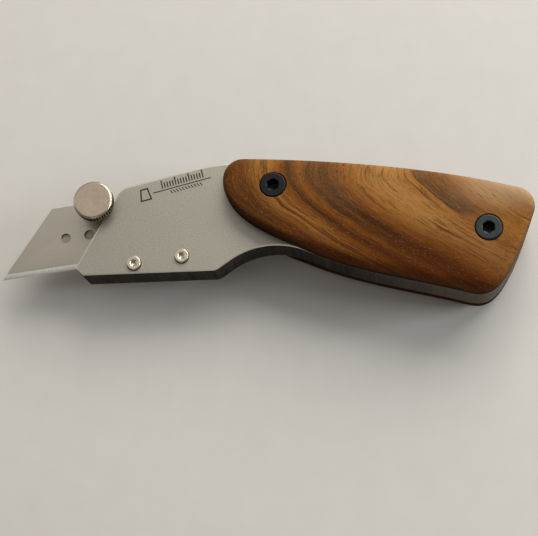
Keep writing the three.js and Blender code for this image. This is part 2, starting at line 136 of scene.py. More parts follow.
def handle_line():
    """From the end of the finger hollow, round the butt, to the handle's top edge at the front."""
    def stepped(place, step):
        return place[0] + step[0], place[1] + step[1]

    x, y = choil_line()[-1]
    low, high, rearmost = BUTT_LOW, BUTT_HIGH, (BUTT_X, BUTT_HIGH[1])
    end = (HANDLE_FRONT + HANDLE_CORNER, TOP_Y)
    span = low[0] - x
    pull = BELLY_LEAVE * span
    push = (low[0] - BELLY_ARRIVE[0] * span, low[1] + BELLY_ARRIVE[1] * span)
    heel, brow = stepped(low, HEEL_STEPS[2]), stepped(rearmost, BUTT_STEPS[2])
    line = bend((x, y), (x + pull, y - pull * math.tan(CHOIL_EXIT)), push, low, 40)
    line += bend(low, stepped(low, HEEL_STEPS[0]), stepped(low, HEEL_STEPS[1]), heel, 16)
    line += bend(heel, stepped(low, BUTT_STEPS[0]), stepped(rearmost, BUTT_STEPS[1]), brow, 24)
    line += bend(brow, stepped(rearmost, CREST_STEPS[0]), stepped(high, CREST_STEPS[1]), high, 18)
    reach, rise = high[0] - end[0], TOP_Y - high[1]
    pull = (high[0] - BACK_LEAVE[0] * reach, high[1] + BACK_LEAVE[1] * rise)
    push = (high[0] - BACK_ARRIVE[0] * reach, TOP_Y - BACK_ARRIVE[1] * rise)
    return line + bend(high, pull, push, end, 60)


def tidy_loop(line):
    """The same closed line without points that fall on their neighbours."""
    kept = []
    for x, y in line:
        if not kept or math.hypot(x - kept[-1][0], y - kept[-1][1]) > 0.02:
            kept.append((x, y))
    while math.hypot(kept[0][0] - kept[-1][0], kept[0][1] - kept[-1][1]) < 0.02:
        kept.pop()
    return kept


def nose_arc():
    """The rounded corner between the top edge and the sloping nose edge."""
    trim = NOSE_RADIUS * math.tan((NOSE_SLOPE - TOP_SLOPE) / 2)
    x = NOSE_CORNER[0] + trim * math.cos(TOP_SLOPE)
    y = NOSE_CORNER[1] + trim * math.sin(TOP_SLOPE)
    centre = (x + NOSE_RADIUS * math.sin(TOP_SLOPE), y - NOSE_RADIUS * math.cos(TOP_SLOPE))
    return arc(centre, NOSE_RADIUS, math.pi / 2 + TOP_SLOPE, math.pi / 2 + NOSE_SLOPE, 20)


def plate_line():
    """Outline of the plates, anticlockwise from the nose's lower corner."""
    shoulder = NOSE_CORNER[0] + (TOP_Y - NOSE_CORNER[1]) / math.tan(TOP_SLOPE)
    drop = SHOULDER_RUN * math.tan(TOP_SLOPE)
    ease = SHOULDER_RUN / 3
    line = [(NOSE_X + CORNER_CUT, 0)] + choil_line() + handle_line()
    line += bend(
        (shoulder + SHOULDER_RUN, TOP_Y), (shoulder + ease, TOP_Y),
        (shoulder - ease, TOP_Y - drop / 3), (shoulder - SHOULDER_RUN, TOP_Y - drop), 14,
    )
    return tidy_loop(line + nose_arc() + [(NOSE_X, CORNER_CUT)])


TILT = math.radians(6.6)
BLADE_HEIGHT = 19
SCREW_U = 28.9
SCREW_V = 16.7


def from_blade(u, v):
    """A place in the blade's own axes, u along its edge from the point and v towards its spine."""
    return (
        u * math.cos(TILT) - v * math.sin(TILT),
        TIP_LIFT + u * math.sin(TILT) + v * math.cos(TILT),
    )


def to_blade(x, y):
    """The reverse: a place on the plates in the blade's own axes."""
    return (
        x * math.cos(TILT) + (y - TIP_LIFT) * math.sin(TILT),
        -x * math.sin(TILT) + (y - TIP_LIFT) * math.cos(TILT),
    )


def nose_u(v):
    """How far back along the blade the sloping nose edge is, at a distance v from its edge."""
    u, cut = to_blade(NOSE_X, CORNER_CUT)
    return u + (v - cut) / math.tan(NOSE_SLOPE - TILT)


def first_below(line, v):
    """The first point of the plates' outline at the nose that is nearer the edge than v."""
    for i in range(len(line) // 2, len(line)):
        if line[i][0] < NOSE_CORNER[0] + 6 and to_blade(*line[i])[1] < v:
            return i


THUMB_AXIS = from_blade(SCREW_U, SCREW_V)
TONGUE_LOW = 3.6
TONGUE_HIGH = BLADE_HEIGHT - 1.6
TONGUE_FRONT = SCREW_U - 12.9
LOBE_RADIUS = 4.2


def tongue_line(back):
    """Outline of the strip under the blade, with a lobe round the thumb screw, from its lower
    back corner to its upper one, running forwards. back gives how far back each side reaches."""
    low, high, front = TONGUE_LOW, TONGUE_HIGH, TONGUE_FRONT
    swing = math.asin((high - SCREW_V) / LOBE_RADIUS)
    line = [(back[1], high)]
    line += arc((SCREW_U, SCREW_V), LOBE_RADIUS, swing, math.pi - swing, 30)
    pull, push, end = (front + 2.4, high), (front + 1.8, high - 0.6), (front + 1.4, high - 2)
    line += bend((front + 4, high), pull, push, end, 8)
    line += bend((front, low + 2), (front, low + 0.8), (front + 0.8, low), (front + 2, low), 8)
    line.append((back[0], low))
    return [from_blade(u, v) for u, v in line]


def back_plate_line():
    line = plate_line()
    tongue = tongue_line((nose_u(TONGUE_LOW), nose_u(TONGUE_HIGH)))
    return tidy_loop(line[:first_below(line, TONGUE_HIGH)] + tongue + [line[-1]])


def inset(loop, distance):
    """The loop moved inwards, each corner along its mitre."""
    p = np.array(loop)
    ahead = np.roll(p, -1, 0) - p
    ahead /= np.linalg.norm(ahead, axis=1)[:, None]
    behind = np.roll(ahead, 1, 0)
    n1 = np.stack([-behind[:, 1], behind[:, 0]], 1)
    n2 = np.stack([-ahead[:, 1], ahead[:, 0]], 1)
    mitre = n1 + n2
    mitre /= np.linalg.norm(mitre, axis=1)[:, None]
    spread = np.clip((mitre * n2).sum(1), 0.5, 1)
    return p + mitre * (distance / spread)[:, None]


def add_ring(points, line, z):
    """Adds a line of places at one height to a list of points, and gives their numbers in it."""
    points.extend(bench(x, y, z) for x, y in line)
    return list(range(len(points) - len(line), len(points)))


def stitch(faces, rings):
    """Adds the faces between each ring of points and the next; a ring can be a single point."""
    for first, second in zip(rings, rings[1:]):
        count = max(len(first), len(second))
        for i in range(count):
            j = (i + 1) % count
            if len(first) == 1:
                faces.append((first[0], second[j], second[i]))
            elif len(second) == 1:
                faces.append((first[i], first[j], second[0]))
            else:
                faces.append((first[i], first[j], second[j], second[i]))


def fill(points, faces, loops):
    """Adds a flat face between an outline and the holes in it, each a loop of point numbers."""
    index = [i for loop in loops for i in loop]
    corners = [[Vector(points[i]) for i in loop] for loop in loops]
    for triangle in geometry.tessellate_polygon(corners):
        faces.append(tuple(index[i] for i in triangle))


def mesh_piece(name, points, faces, **point_layers):
    """A mesh object from points in row-frame metres, with crisp edges kept crisp. The keyword
    arguments hold a number for each point under a layer's name, such as the share of a broken edge
    that is brightened, partly as polished metal and partly as a painted highlight."""
    mesh = bpy.data.meshes.new(name)
    mesh.from_pydata(points, [], faces)
    bm = bmesh.new()
    bm.from_mesh(mesh)
    bmesh.ops.recalc_face_normals(bm, faces=bm.faces)
    bm.to_mesh(mesh)
    bm.free()
    mesh.shade_smooth()
    mesh.set_sharp_from_angle(angle=math.radians(38))
    for layer, values in point_layers.items():
        attribute = mesh.attributes.new(layer, "FLOAT", "POINT")
        attribute.data.foreach_set("value", np.array(values, np.float32))
    piece = bpy.data.objects.new(name, mesh)
    bpy.context.scene.collection.objects.link(piece)
    return piece


EDGE_TURN = [math.radians(a) for a in (0, 30, 60, 90)]
EDGE_SUPPORT = 0.25
# The bright edges start to fade under the scales this far behind the handle's front; there the edge
# is painted dark for shade instead.
BARE_BEHIND = 25
BARE_FADE = 4


def edge_steps(low, high, edge):
    """Stations (inset, z) up the side of a plate whose two edges are rounded by edge."""
    lower = [(edge + EDGE_SUPPORT, low)]
    lower += [(edge * (1 - math.sin(a)), low + edge * (1 - math.cos(a))) for a in EDGE_TURN]
    lower.append((0, low + edge + EDGE_SUPPORT / 2))
    return lower + [(d, low + high - z) for d, z in reversed(lower)]


def cut_plate(name, outline, bores, low, high, edge, shine=(0, 0)):
    """A flat plate: the outline with both edges broken, and bores, each a centre and its own
    stations (radius, z) from the low face to the high one. The walls are painted dark for shade.
    shine says how far the low and the high edge are brightened, partly as polished metal and partly
    as a painted highlight; under the handle neither is, and there that edge is painted dark for
    shade like the walls."""
    points, faces, worn, side = [], [], [], []
    bottom, top = [], []

    def add_wall(lines, brightened, walled):
        rings = []
        for (line, z), edge_share, wall in zip(lines, brightened, walled):
            rings.append(add_ring(points, line, z))
            # A broken edge is brightened outside the handle, partly as a painted highlight, and
            # painted dark for shade under it.
            bare = [np.clip((HANDLE_FRONT + BARE_BEHIND - x) / BARE_FADE, 0, 1) for x, _ in line]
            worn.extend(edge_share * b for b in bare)
            side.extend(max(wall, edge_share * (1 - b)) for b in bare)
        stitch(faces, rings)
        bottom.append(rings[0])
        top.append(rings[-1])

    brightened = [[0, 0.6 * edge_share, edge_share, 0.9 * edge_share, 0.2 * edge_share, 0] for edge_share in shine]
    walled = [[0, 0, 0, 0.2, 0.8, 1] if edge_share else [0, 0.4, 0.9, 1, 1, 1] for edge_share in shine]
    lines = [(inset(outline, d), z) for d, z in edge_steps(low, high, edge)]
    add_wall(lines, brightened[0] + brightened[1][::-1], walled[0] + walled[1][::-1])
    for centre, stations in bores:
        lines = [(circle(centre, r, 48), z) for r, z in stations]
        inner = len(lines) - 4
        add_wall(lines, [0, 0.4] + [0] * inner + [0.4, 0], [0, 0.2] + [1] * inner + [0.2, 0])
    fill(points, faces, bottom)
    fill(points, faces, top)
    return mesh_piece(name, points, faces, worn=worn, side=side)


def through_bore(centre, radius, low, high, edge=0.15):
    """A plain drilled hole with both rims lightly countersunk."""
    rim = radius + edge
    return centre, [
        (rim + 0.2, low), (rim, low), (radius, low + edge),
        (radius, high - edge), (rim, high), (rim + 0.2, high),
    ]


def drill(handle_hole, nose_hole, low, high):
    """The plain holes through a plate: two for the handle screws, two for the nose screws."""
    holes = [(axis, handle_hole) for axis in HANDLE_AXES.values()]
    holes += [(axis, nose_hole) for axis in NOSE_AXES.values() if nose_hole]
    return [through_bore(axis, radius, low, high) for axis, radius in holes]


class Finish:
    """A named finish: one shader, and the few kinds of node that feed it. A socket takes a
    number, a colour, or what another node gives."""

    def __init__(self, name):
        self.material = bpy.data.materials.new(name)
        self.material.use_nodes = True
        self.tree = self.material.node_tree
        self.place = self.add("TexCoord", {}, "Object")

    def put(self, socket, value):
        if isinstance(value, bpy.types.NodeSocket):
            self.tree.links.new(value, socket)
        elif socket.type == "RGBA":
            socket.default_value = (*value, 1)
        else:
            socket.default_value = value

    def add(self, kind, sockets, output=0, **settings):
        node = self.tree.nodes.new("ShaderNode" + kind)
        for setting, value in settings.items():
            setattr(node, setting, value)
        for socket, value in sockets.items():
            self.put(node.inputs[socket], value)
        return node.outputs[output]

    def give(self, socket, value):
        """Sets or links one of the shader's own sockets."""
        self.put(self.tree.nodes["Principled BSDF"].inputs[socket], value)

    def layer(self, name):
        """One of the numbers that the mesh holds for each of its points."""
        return self.add("Attribute", {}, "Fac", attribute_name=name)

    def sums(self, operation, *values):
        return self.add("Math", dict(enumerate(values)), operation=operation)

    def axis(self, place, letter):
        return self.add("SeparateXYZ", {"Vector": place}, letter)

    def vector(self, x, y, z):
        return self.add("CombineXYZ", {"X": x, "Y": y, "Z": z})

    def noise(self, place, scale, detail=2, rough=0.5):
        sockets = {"Vector": place, "Scale": scale, "Detail": detail, "Roughness": rough}
        return self.add("TexNoise", sockets, "Fac")

    def span(self, value, low, high, start=0, end=1, smooth=False):
        """Stretches a value from between low and high to between start and end."""
        kind = "SMOOTHSTEP" if smooth else "LINEAR"
        sockets = {"From Min": low, "From Max": high, "To Min": start, "To Max": end}
        return self.add("MapRange", {**sockets, "Value": value}, interpolation_type=kind)

    def blend(self, factor, first, second):
        sockets = {"Factor": factor, "A": first, "B": second}
        return self.add("Mix", sockets, "Result", data_type="RGBA")

    def ramp(self, value, stops):
        """A colour for each value, from stops of a position and a colour."""
        colours = self.add("ValToRGB", {"Fac": value}, "Color")
        elements = colours.node.color_ramp.elements
        while len(elements) < len(stops):
            elements.new(0.5)
        for element, (position, colour) in zip(elements, stops):
            element.position = position
            element.color = (*colour, 1)
        return colours

    def bump(self, height, strength, distance):
        sockets = {"Height": height, "Strength": strength, "Distance": distance}
        self.give("Normal", self.add("Bump", sockets))


def shade(tone, share):
    return tuple(min(1, c * share) for c in tone)


def blasted_steel(name, tone, side_shade_tone, polish_and_glint):
    """Bead-blasted stainless: an even satin grey with a very fine grain. The side layer marks the
    laser-cut walls. They are painted dark for the shade they stand in, with faint upright ripples,
    and painted paler towards the butt where the light falls on them. A second layer marks the
    broken edges, which are brighter, partly as polished metal and partly as a painted highlight."""
    steel = Finish(name)
    grain = steel.noise(steel.place, scale=3000, detail=3, rough=0.65)
    cloud = steel.noise(steel.place, scale=38, detail=4, rough=0.65)
    upright = steel.add("Mapping", {"Vector": steel.place, "Scale": (1, 1, 0.06)})
    ripple = steel.noise(upright, scale=1100, detail=2, rough=0.65)
    grainy = steel.ramp(grain, [(0.36, shade(tone, 0.74)), (0.66, shade(tone, 1.22))])
    cloudy = steel.ramp(cloud, [(0.35, shade(tone, 0.95)), (0.65, shade(tone, 1.03))])
    # Painted shade: the cut walls' tone is dark for the shade they stand in, with faint upright
    # ripples.
    cut = steel.ramp(ripple, [(0.3, shade(side_shade_tone, 0.6)), (0.7, shade(side_shade_tone, 1.5))])
    # Painted light: the cut walls are painted paler towards the butt, where the light falls on
    # them.
    butt_start, butt_end = POINT_X + 96 * MM, POINT_X + 128 * MM
    brightened = steel.span(steel.axis(steel.place, "X"), butt_start, butt_end, 0, 0.42)
    cut = steel.blend(brightened, cut, (0.24, 0.20, 0.15))
    side, worn = steel.layer("side"), steel.layer("worn")
    colour = steel.blend(side, steel.blend(0.3, grainy, cloudy), cut)
    # The broken edges take a bright tone, partly polished metal and partly a painted highlight.
    steel.give("Base Color", steel.blend(worn, colour, polish_and_glint))
    steel.give("Metallic", steel.span(side, 0, 1, 0.95, 0.05))
    steel.give("Specular IOR Level", 0.12)
    rough = steel.sums("MULTIPLY_ADD", worn, -0.12, steel.span(cloud, 0, 1, 0.40, 0.50))
    steel.give("Roughness", steel.sums("MULTIPLY_ADD", side, 0.45, rough))
    steel.bump(grain, strength=0.5, distance=0.00005)
    return steel


def dress(piece, finish, body="knife_frame"):
    """Gives a piece its one finish and the body it moves with."""
    piece.data.materials.append(finish.material)
    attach(piece, body)


HANDLE_AXES = {
    "front": (HANDLE_FRONT + 14.1, TOP_Y - 9.2),
    "rear": (BUTT_X - 12.8, 7.15),
}
NOSE_AXES = {"front": from_blade(38.2, -2.25), "rear": from_blade(51.5, -2.25)}
PLATE_TONE = (0.45, 0.425, 0.37)
# Painted shade: the cut walls' tone, dark for the shade they stand in.
PLATE_SIDE_SHADE = (0.034, 0.030, 0.025)
# The broken edges' tone: polished metal, made brighter still as a painted highlight.
PLATE_POLISH_AND_GLINT = (0.85, 0.79, 0.66)
EDGE_BREAK = 0.25
SLEEVE_HOLE = 3.0
NOSE_TAP = 1.1
THUMB_TAP = 1.6

plate_steel = blasted_steel("bead_blasted_steel", PLATE_TONE, PLATE_SIDE_SHADE, PLATE_POLISH_AND_GLINT)
low, high = levels("back_plate")
bores = drill(SLEEVE_HOLE, NOSE_TAP, low, high)
bores.append(through_bore(THUMB_AXIS, THUMB_TAP, low, high))
back_plate = cut_plate("back_cheek", back_plate_line(), bores, low, high, EDGE_BREAK, (1, 0))
dress(back_plate, plate_steel)
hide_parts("back_plate")


# --- Spacer plate -------------------------------
# The 2 mm middle plate, cut from the same steel. A channel open at the nose holds the blade, and
# the strips left above and below the channel keep the two outer plates apart.

BLADE_LENGTH = 62
END_RUN = 15.3
END_SLANT = END_RUN / BLADE_HEIGHT
CHANNEL_GAP = 0.4
SHANK_HOLE = 2.2
NOSE_HOLE = 1.2


def spacer_line():
    line = plate_line()
    low, high = -CHANNEL_GAP, BLADE_HEIGHT + CHANNEL_GAP
    back = BLADE_LENGTH + CHANNEL_GAP
    start = first_below(line, high)
    before, after = to_blade(*line[start - 1]), to_blade(*line[start])
    share = (before[1] - high) / (before[1] - after[1])
    mouth_u = before[0] + share * (after[0] - before[0])
    channel = [(mouth_u, high), (back - END_SLANT * high, high)]
    channel += [(back - END_SLANT * low, low), (nose_u(low), low)]
    return tidy_loop(line[:start] + [from_blade(u, v) for u, v in channel] + [line[-1]])


low, high = levels("spacer_plate")
bores = drill(SHANK_HOLE, NOSE_HOLE, low, high)
spacer = cut_plate("channel_spacer", spacer_line(), bores, low, high, edge=0.12)
dress(spacer, plate_steel)
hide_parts("spacer_plate")


# --- Blade bed ----------------------------------
# A thin steel strip under the blade that lifts it to the top of the channel. It shows through the
# blade's two front holes.

BED_TONE = (0.38, 0.36, 0.31)
BED_BACK = BLADE_LENGTH - 0.6
THUMB_HOLE = 1.7

low, high = levels("blade_bed")
corners = (BED_BACK - END_SLANT * TONGUE_LOW, BED_BACK - END_SLANT * TONGUE_HIGH)
bores = [through_bore(THUMB_AXIS, THUMB_HOLE, low, high)]
bed = cut_plate("bed_strip", tidy_loop(tongue_line(corners)), bores, low, high, edge=0.1)
bed_steel = blasted_steel("worn_bed_steel", BED_TONE, PLATE_SIDE_SHADE, PLATE_TONE)
dress(bed, bed_steel)
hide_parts("blade_bed")


# --- Blade --------------------------------------
# A standard trapezoid blade in 0.65 mm carbon steel: punched with holes and two spine notches,
# satin rolled, then ground on both sides of its long edge and honed to a finer bevel at the edge.

BEVEL = 1.45
HONED = 0.3
EDGE_HALF = 0.02
NOTCH_HALF = 1.65
NOTCH_SPACING = 4.2
HOLE_RADIUS = 1.45
HOLE_OFFSETS = (5.5, 12.3)
HOLE_RIM = 0.012
SOFT_EDGE = 0.05


def blade_top_line():
    """The blade's flat face, from the front end of the ground bevel, anticlockwise."""
    line = [(END_SLANT * BEVEL, BEVEL), (BLADE_LENGTH - END_SLANT * BEVEL, BEVEL)]
    line.append((BLADE_LENGTH - END_RUN, BLADE_HEIGHT))
    for side in (1, -1):
        u = BLADE_LENGTH / 2 + side * NOTCH_SPACING / 2
        line.append((u + NOTCH_HALF, BLADE_HEIGHT))
        line += arc((u, SCREW_V), NOTCH_HALF, 0, -math.pi, 20)
        line.append((u - NOTCH_HALF, BLADE_HEIGHT))
    line.append((END_RUN, BLADE_HEIGHT))
    return line


def make_blade(low, high):
    """Four rings make the flat faces and their softened edges. They stay open along the ground
    bevel, which rows of two points close, down to the honed edge."""
    flat = blade_top_line()
    inner = inset(flat, SOFT_EDGE)
    points, faces, rings = [], [], []

    def blade_ring(line, z):
        return add_ring(points, [from_blade(u, v) for u, v in line], z)

    for line, z in ((inner, low), (flat, low + SOFT_EDGE), (flat, high - SOFT_EDGE), (inner, high)):
        rings.append(blade_ring(line, z))
    for first, second in zip(rings, rings[1:]):
        for i in range(1, len(flat)):
            j = (i + 1) % len(flat)
            faces.append((first[i], first[j], second[j], second[i]))
    middle, thin = (low + high) / 2, 0.15 * (high - low)
    rows = [rings[0][:2]]
    for v, lift in ((HONED, -thin), (0, -EDGE_HALF), (0, EDGE_HALF), (HONED, thin)):
        ends = [(END_SLANT * v, v), (BLADE_LENGTH - END_SLANT * v, v)]
        rows.append(blade_ring(ends, middle + lift))
    rows.append(rings[3][:2])
    for (a, b), (c, d) in zip(rows, rows[1:]):
        faces.append((a, b, d, c))
    faces.append([ring[0] for ring in rings] + [row[0] for row in rows[4:0:-1]])
    faces.append([row[1] for row in rows[1:5]] + [ring[1] for ring in rings[::-1]])
    bottom, top = [rings[0]], [rings[3]]
    for side in (-1, 1):
        for offset in HOLE_OFFSETS:
            centre = (BLADE_LENGTH / 2 + side * offset, BLADE_HEIGHT / 2)
            rim = HOLE_RADIUS + HOLE_RIM
            steps = [(rim, low), (HOLE_RADIUS, low + HOLE_RIM)]
            steps += [(HOLE_RADIUS, high - HOLE_RIM), (rim, high)]
            hole = [blade_ring(circle(centre, r, 40), z) for r, z in steps]
            stitch(faces, hole)
            bottom.append(hole[0])
            top.append(hole[3])
    fill(points, faces, bottom)
    fill(points, faces, top)
    return mesh_piece("trapezoid_blade", points, faces)


def rolled_blade_steel():
    """Satin carbon steel with fine rolling lines along the blade, warmer than the plates; the
    ground bevel is paler, with grinding lines square to the edge, and the honed edge is bright."""
    steel = Finish("rolled_blade_steel")
    steel.give("Metallic", 1.0)
    on_blade = {"Location": bench(0, TIP_LIFT, 0), "Rotation": (0, 0, TILT)}
    along = steel.add("Mapping", {"Vector": steel.place, **on_blade}, vector_type="TEXTURE")

    def stretched(stretch, scale):
        pulled = steel.add("Mapping", {"Vector": along, "Scale": stretch})
        return steel.noise(pulled, scale, detail=3)

    def below(edge, soft):
        low, high = (edge - soft) * MM, (edge + soft) * MM
        return steel.span(steel.axis(along, "Y"), low, high, 1, 0, smooth=True)

    rolling = stretched((0.12, 1, 1), 1500)
    grinding = stretched((1, 0.08, 1), 2600)
    stain = steel.span(stretched((1, 1, 1), 130), 0.5, 0.8, 0, 0.35)
    ground = below(BEVEL, 0.05)
    rolled = steel.ramp(rolling, [(0.35, (0.545, 0.505, 0.430)), (0.7, (0.570, 0.530, 0.452))])
    rolled = steel.blend(stain, rolled, (0.50, 0.455, 0.385))
    bevel = steel.ramp(grinding, [(0.35, (0.80, 0.79, 0.70)), (0.7, (0.93, 0.92, 0.83))])
    colour = steel.blend(ground, rolled, bevel)
    steel.give("Base Color", steel.blend(below(HONED, 0.03), colour, (0.80, 0.79, 0.76)))
    steel.give("Roughness", steel.span(ground, 0, 1, 0.36, 0.27))
    steel.bump(rolling, strength=0.10, distance=0.00002)
    return steel


blade = make_blade(*levels("blade"))
dress(blade, rolled_blade_steel())
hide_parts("blade")


# --- Front plate --------------------------------
# The outer plate over the blade, the same 3.5 mm blasted steel. Its sloping nose edge stops short
# of the thumb screw, and two flat-bottomed pockets seat the nose screws. Its edges are broken.

NOSE_HEAD_TOP = levels("nose_screw_front")[1]
NOSE_HEAD_HEIGHT = 2
NOSE_POCKET = 2.01


def pocket_bore(centre, radius, pocket, floor, low, high):
    """A hole with a flat-bottomed pocket for a screw head at the high face."""
    below, above = (through_bore(centre, r, low, high)[1] for r in (radius, pocket))
    seat = [(radius, floor), (pocket - 0.1, floor), (pocket, floor + 0.1)]
    return centre, below[:3] + seat + above[3:]


low, high = levels("front_plate")
floor = NOSE_HEAD_TOP - NOSE_HEAD_HEIGHT
bores = drill(SHANK_HOLE, None, low, high)
for axis in NOSE_AXES.values():
    bores.append(pocket_bore(axis, NOSE_HOLE, NOSE_POCKET, floor, low, high))
front_plate = cut_plate("front_cheek", plate_line(), bores, low, high, EDGE_BREAK, (0, 1))
dress(front_plate, plate_steel)
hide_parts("front_plate")


# --- Graduated mark -----------------------------
# A plain maker's ornament burnt into the front plate by laser: a small outline of a blade, then a
# rule with short graduations. It holds no letters. The burn is dark and lies flush.

MARK_START = (39.7, 20.9)
MARK_TURN = math.radians(13.5)
MARK_SKIN = 0.02
BLADE_SIGN = [(0, 0), (0.5, 3.3), (2.4, 3.3), (2.9, 0)]


def burnt_mark(z):
    points, faces = [], []

    def stroke(start, end, width):
        run = (Vector(end) - Vector(start)).normalized() * width / 2
        side = Vector((-run.y, run.x))
        start, end = Vector(start) - run, Vector(end) + run
        line = []
        for c in (start - side, end - side, end + side, start + side):
            line.append((
                MARK_START[0] + c.x * math.cos(MARK_TURN) - c.y * math.sin(MARK_TURN),
                MARK_START[1] + c.x * math.sin(MARK_TURN) + c.y * math.cos(MARK_TURN),
            ))
        rings = [add_ring(points, line, z + lift) for lift in (-MARK_SKIN, MARK_SKIN)]
        stitch(faces, rings)
        faces.extend([rings[0][::-1], rings[1]])

    for start, end in zip(BLADE_SIGN, BLADE_SIGN[1:] + BLADE_SIGN[:1]):
        stroke(start, end, 0.42)
    stroke((3.9, 1.5), (20.2, 1.5), 0.31)
    for i in range(16):
        x, tall = 6.6 + i * 0.78, 2.1 if i % 5 == 0 else 1.3
        stroke((x, 2.3), (x, 2.3 + tall), 0.36)
    for i in range(11):
        x = 8.6 + i * 0.85
        stroke((x, 0.8), (x + 0.4, 0.1), 0.28)
    return mesh_piece("burnt_mark", points, faces)


def burnt_steel():
    """The dark oxide that a marking laser leaves: brown-black, matt, a little uneven."""
    steel = Finish("burnt_steel")
    steel.give("Metallic", 0.3)
    steel.give("Roughness", 0.6)
    uneven = steel.noise(steel.place, scale=1400)
    stops = [(0.3, (0.012, 0.009, 0.006)), (0.75, (0.050, 0.034, 0.020))]
    steel.give("Base Color", steel.ramp(uneven, stops))
    return steel


mark = burnt_mark(levels("front_plate")[1])
dress(mark, burnt_steel())


# --- Nose screws --------------------------------
# Two M2 stainless cap screws with a 1.5 mm hexagon. They hold the plates together under the
# blade's edge, and their turned heads stand 0.9 mm proud of the plate.

NOSE_HEAD_RADIUS = 1.9
NOSE_THREAD_RADIUS = 1
NOSE_HEX = 1.5
NOSE_HEX_DEPTH = 1
STAINLESS_TONE = (0.74, 0.66, 0.55)
# Painted shade: the sockets' tone, a little darker and greener for the shade inside them.
STAINLESS_SOCKET_SHADE = (0.66, 0.66, 0.52)


def spin(name, centre, rings):
    """A closed piece from rings about an upright axis, from the axis at the bottom to the axis at
    the top. A ring is its reach at each step round, its height, and how deep each step lies."""
    points, faces, deep, numbers = [], [], [], []
    for reach, z, depths in rings:
        line = []
        for i, r in enumerate(reach):
            a = 2 * math.pi * i / len(reach)
            line.append((centre[0] + r * math.cos(a), centre[1] + r * math.sin(a)))
        numbers.append(add_ring(points, line, z))
        deep.extend(depths)
    stitch(faces, numbers)
    return mesh_piece(name, points, faces, deep=deep)


def turned_piece(name, centre, stations, steps=48):
    """A turned piece from stations, each a radius, a height and its marks. With "hex" a radius is a
    hexagon's half width across its flats, and with "deep" the station lies inside the socket, where
    the colour is painted dark for shade."""
    angles = np.arange(steps) * 2 * math.pi / steps
    hexagon = 1 / np.cos((angles + math.pi / 6) % (math.pi / 3) - math.pi / 6)
    rings = []
    for r, z, *marks in stations:
        reach = [0] if r == 0 else r * (hexagon if "hex" in marks else np.ones(steps))
        rings.append((reach, z, ["deep" in marks] * len(reach)))
    return spin(name, centre, rings)


def cap_screw(name, centre, thread, head, head_height, top, tip, hex_width, hex_depth):
    """A socket cap screw: shank with a plain point, head with a rounded rim, hexagon socket."""
    seat = top - head_height
    rim = 0.09 * head
    half = hex_width / 2
    floor = top - hex_depth
    stations = [(0, tip), (0.75 * thread, tip), (thread, tip + 0.25 * thread), (thread, seat - 0.1)]
    stations += [(thread + 0.12, seat), (head - 0.15, seat), (head, seat + 0.12)]
    stations.append((head, top - rim - 0.12))
    stations += [
        (head - rim * (1 - math.cos(a)), top - rim * (1 - math.sin(a))) for a in EDGE_TURN
    ]
    stations += [(head - rim - 0.12, top), (half + 0.42, top), (half + 0.3, top)]
    stations += [(half + 0.02, top - 0.16, "hex"), (half, top - 0.22, "hex", "deep")]
    stations += [(half, floor + 0.05, "hex", "deep"), (half - 0.05, floor, "hex", "deep")]
    stations += [(0.55 * half, floor - 0.08, "deep"), (0, floor - 0.35, "deep")]
    return turned_piece(name, centre, stations)


def turned_steel(name, tone, roughness, ring_scale, centre, recess_shade):
    """Turned bright steel: fine rings round the piece's own axis from the lathe tool, with slight
    stains. The deep layer marks sockets and the gaps of a knurl, which take the given colour,
    painted for the shade in them."""
    steel = Finish(name)
    steel.give("Metallic", 1.0)
    x, y, _ = bench(*centre, 0)
    centred = steel.add("Mapping", {"Vector": steel.place, "Location": (-x, -y, 0)})
    sockets = {"Vector": centred, "Scale": ring_scale, "Distortion": 0.8, "Detail": 2}
    rings = steel.add("TexWave", sockets, "Fac", wave_type="RINGS", rings_direction="Z")
    speck = steel.noise(steel.place, scale=900, detail=4)
    colour = steel.ramp(speck, [(0.3, shade(tone, 0.94)), (0.7, shade(tone, 1.04))])
    steel.give("Base Color", steel.blend(steel.layer("deep"), colour, recess_shade))
    steel.give("Roughness", steel.span(speck, 0, 1, roughness - 0.04, roughness + 0.08))
    steel.bump(rings, strength=0.07, distance=0.00002)
    return steel


for end, axis in NOSE_AXES.items():
    node = f"nose_screw_{end}"
    screw = cap_screw(
        f"nose_cap_screw_{end}", axis, NOSE_THREAD_RADIUS, NOSE_HEAD_RADIUS, NOSE_HEAD_HEIGHT,
        NOSE_HEAD_TOP, levels(node)[0], NOSE_HEX, NOSE_HEX_DEPTH,
    )
    bright = turned_steel(f"stainless_{end}", STAINLESS_TONE, 0.30, 1800, axis, STAINLESS_SOCKET_SHADE)
    dress(screw, bright)
    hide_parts(node)


# --- Handle scales ------------------------------
# Two walnut scales shaped by hand: a straight wall against the steel, edges rounded over, and a
# slightly crowned face. Each is bored through for two screws, with a flat-bottomed pocket for the
# head, and rubbed with oil. They are bolted on, so nothing is glued.

CROWN = 1.3
CROWN_REACH = 17
ROUND_OVER = 2.6
# The front lower side is left crisper: this much less rounded over, and less crowned by a share.
# It ends at the first number of millimetres back and up, and fades out over the second.
CRISP_ROUND = 1.2
CRISP_CROWN = 0.75
CRISP_BACK = (94, 14)
CRISP_TOP = (26, 6)
POCKET = 3.7
POCKET_MOUTH = (0.45, 0.16)
MOUTH_DROP = 0.16
BORE_STEPS = 64
HEAD_SUNK = 0.1
SCREW_HEAD_HEIGHT = 4
NUT_HEAD_HEIGHT = 2.2
WASHER_THICKNESS = 0.5
# How far in from the outline the rounding's rings lie, and the size and clearances of the net of
# points that carries the crowned face inside them.
ROUNDING = (0, 0.03, 0.12, 0.27, 0.48, 0.75, 1.08, 1.46, 1.9)
NET_STEP = 0.8
NET_FROM_EDGE = 0.45
NET_FROM_POCKET = 0.75
